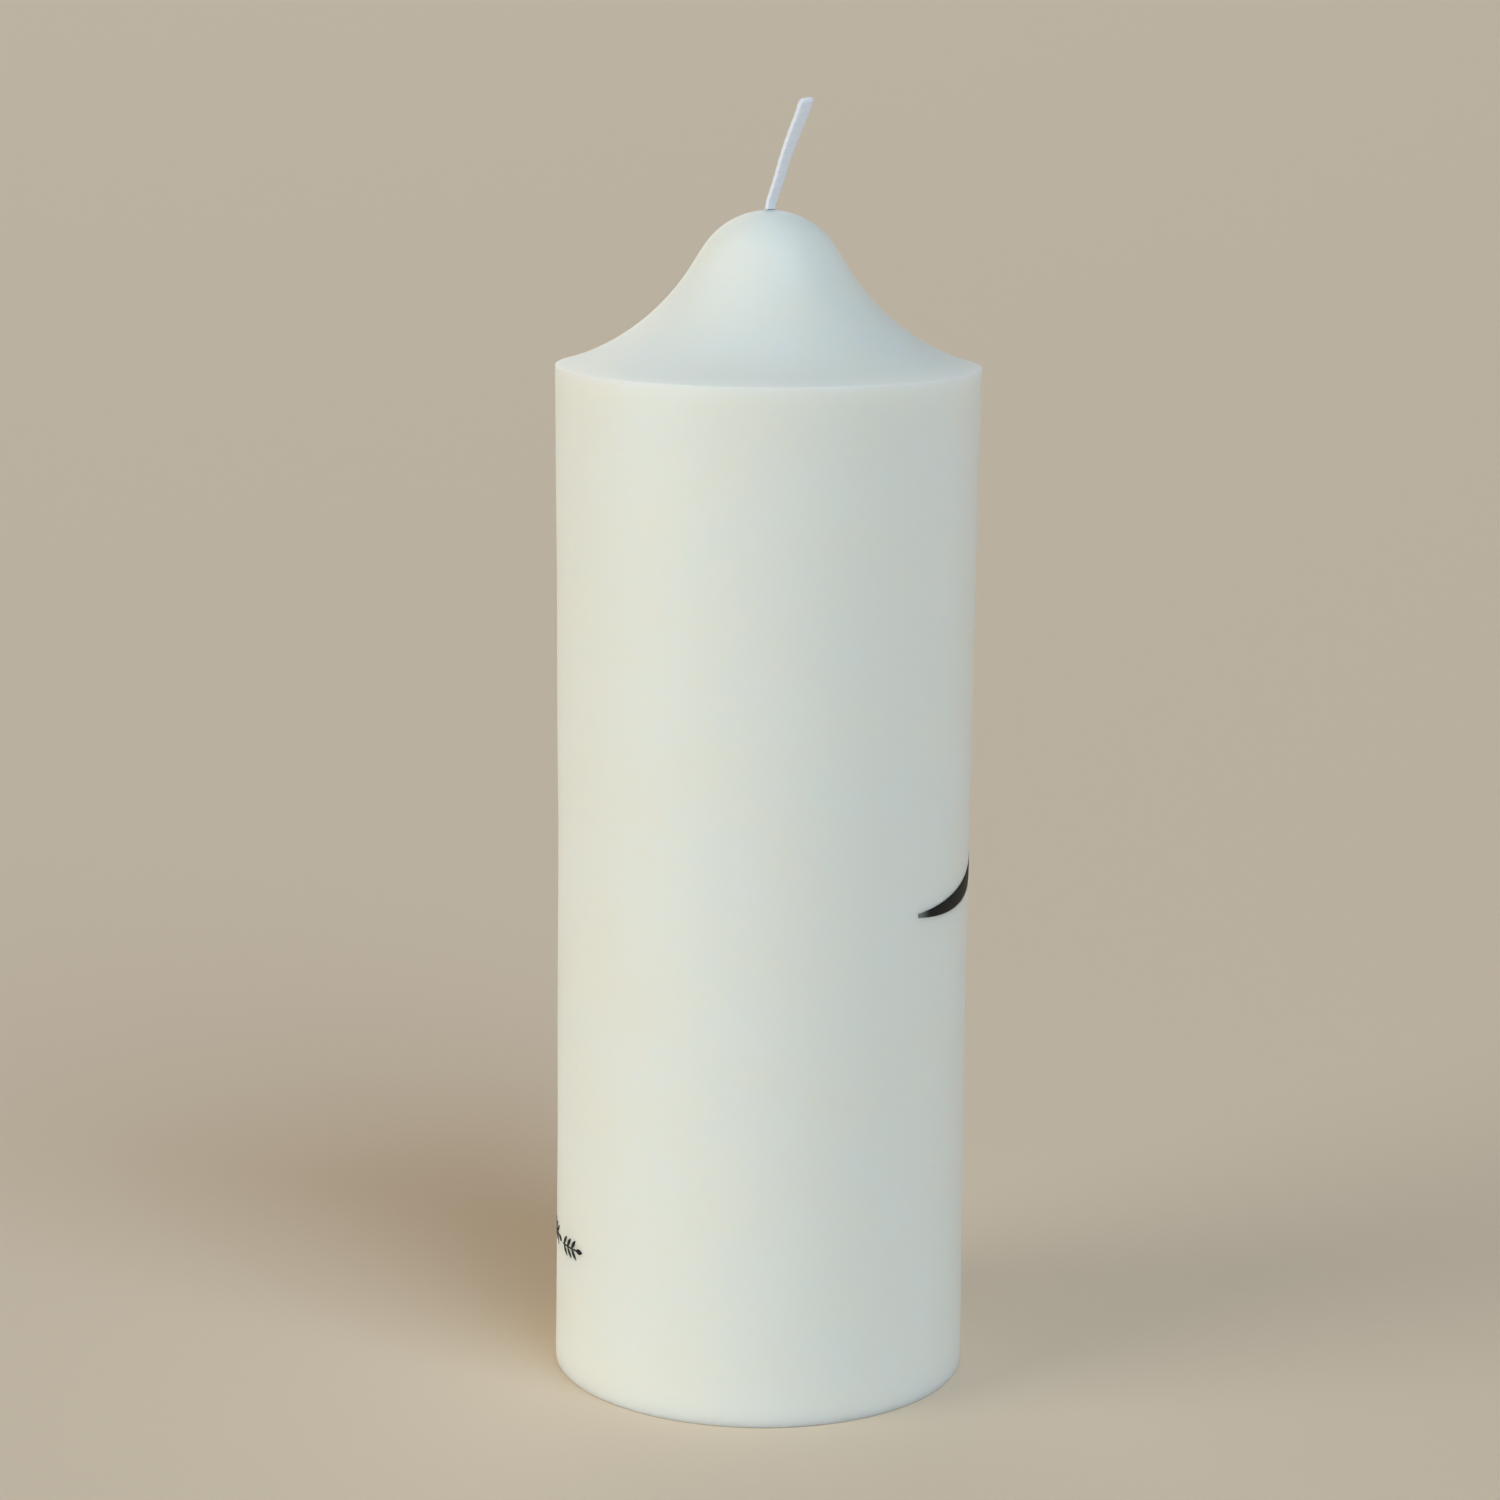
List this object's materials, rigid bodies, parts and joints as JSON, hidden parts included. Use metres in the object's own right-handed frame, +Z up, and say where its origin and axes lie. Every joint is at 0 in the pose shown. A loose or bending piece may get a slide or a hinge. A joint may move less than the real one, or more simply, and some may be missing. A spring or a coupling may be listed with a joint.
{
  "type": "unity candle",
  "caption": "Ivory wedding pillar candle with a bell-shaped top, leaning braided wick, hidden steel wick tab and a printed flourish, rings and leaf garland.",
  "frame": {"origin": "middle of the base, on the surface the candle stands on", "axes": "+Z up the candle, -Y out of its plain back, printed side about +Y, +X towards the wick's lean"},
  "size_m": [0.07, 0.07, 0.2142],
  "materials": {
    "wax": "satin ivory paraffin wax, slightly translucent",
    "wick": "white cotton braid, primed with wax",
    "tab": "tin-plated pressed steel",
    "ink": "satin printed film, warm black"
  },
  "bodies": {
    "root": {"wax_body": "wax", "wick": "wick", "wick_tab": "tab", "flourish_long": "ink", "flourish_short": "ink", "ring_left": "ink", "ring_right": "ink", "sprig_01": "ink", "sprig_02": "ink", "sprig_03": "ink", "sprig_04": "ink", "sprig_05": "ink", "sprig_06": "ink", "sprig_07": "ink", "sprig_08": "ink", "sprig_09": "ink", "sprig_10": "ink", "sprig_11": "ink", "sprig_12": "ink", "sprig_13": "ink"}
  },
  "joints": []
}
